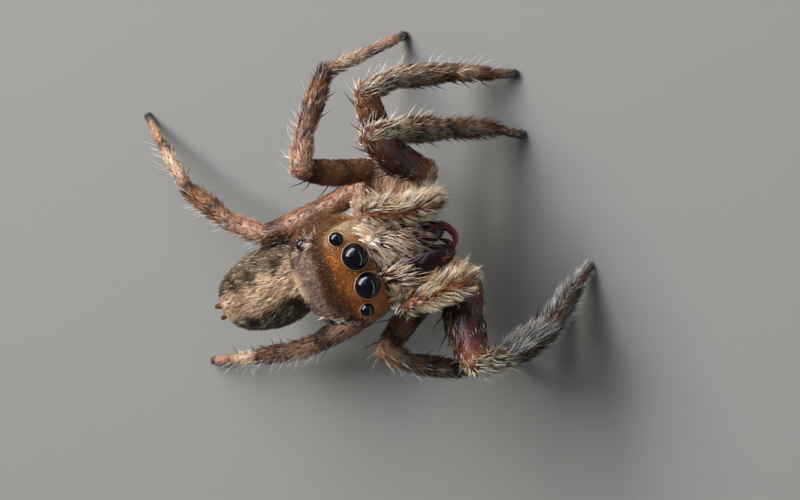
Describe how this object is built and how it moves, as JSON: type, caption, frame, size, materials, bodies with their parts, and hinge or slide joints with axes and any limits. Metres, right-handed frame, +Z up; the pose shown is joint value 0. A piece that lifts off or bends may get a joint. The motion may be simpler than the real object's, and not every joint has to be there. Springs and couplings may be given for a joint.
{
  "type": "jumping spider model",
  "caption": "Still, life-size model of a brown jumping spider standing on the tips of its legs, head raised and turned towards the viewer.",
  "frame": {"origin": "on the floor, under the middle of the spider's bounding box", "axes": "+Z up, -Y the way the spider faces, +X its left side"},
  "size_m": [0.0094, 0.0128, 0.005],
  "materials": {
    "carapace": "brown horny skin under fine golden-orange hairs",
    "eye_lens": "glossy black lens",
    "jaw_horn": "polished dark red-brown horn",
    "feeler": "straw-coloured feathery hairs over orange-brown skin",
    "leg_brown": "dark brown skin under short pale and dark hairs",
    "leg_pale": "tan skin with dark rings under pale hairs",
    "abdomen": "soft skin under tan and dark brown hairs"
  },
  "bodies": {
    "root": {"carapace": "carapace", "breastplate_hips": "leg_brown", "mouthparts": "jaw_horn", "pedicel": "leg_brown", "abdomen": "abdomen", "spinnerets": "leg_brown", "eye_front_middle_L": "eye_lens", "eye_front_side_L": "eye_lens", "eye_tiny_L": "eye_lens", "eye_rear_L": "eye_lens", "eye_front_middle_R": "eye_lens", "eye_front_side_R": "eye_lens", "eye_tiny_R": "eye_lens", "eye_rear_R": "eye_lens", "chelicera_L": "jaw_horn", "fang_L": "jaw_horn", "palp_L_upper": "feeler", "palp_L_lower": "feeler", "chelicera_R": "jaw_horn", "fang_R": "jaw_horn", "palp_R_upper": "feeler", "palp_R_lower": "feeler", "leg_L1_femur": "leg_brown", "leg_L1_patella": "leg_pale", "leg_L1_tibia": "leg_brown", "leg_L1_metatarsus_tarsus": "leg_pale", "leg_L2_femur": "leg_brown", "leg_L2_patella": "leg_pale", "leg_L2_tibia": "leg_brown", "leg_L2_metatarsus_tarsus": "leg_pale", "leg_L3_femur": "leg_brown", "leg_L3_patella": "leg_pale", "leg_L3_tibia": "leg_brown", "leg_L3_metatarsus_tarsus": "leg_pale", "leg_L4_femur": "leg_brown", "leg_L4_patella": "leg_pale", "leg_L4_tibia": "leg_brown", "leg_L4_metatarsus_tarsus": "leg_pale", "leg_R1_femur": "leg_brown", "leg_R1_patella": "leg_pale", "leg_R1_tibia": "leg_brown", "leg_R1_metatarsus_tarsus": "leg_pale", "leg_R2_femur": "leg_brown", "leg_R2_patella": "leg_pale", "leg_R2_tibia": "leg_brown", "leg_R2_metatarsus_tarsus": "leg_pale", "leg_R3_femur": "leg_brown", "leg_R3_patella": "leg_pale", "leg_R3_tibia": "leg_brown", "leg_R3_metatarsus_tarsus": "leg_pale", "leg_R4_femur": "leg_brown", "leg_R4_patella": "leg_pale", "leg_R4_tibia": "leg_brown", "leg_R4_metatarsus_tarsus": "leg_pale"}
  },
  "joints": []
}
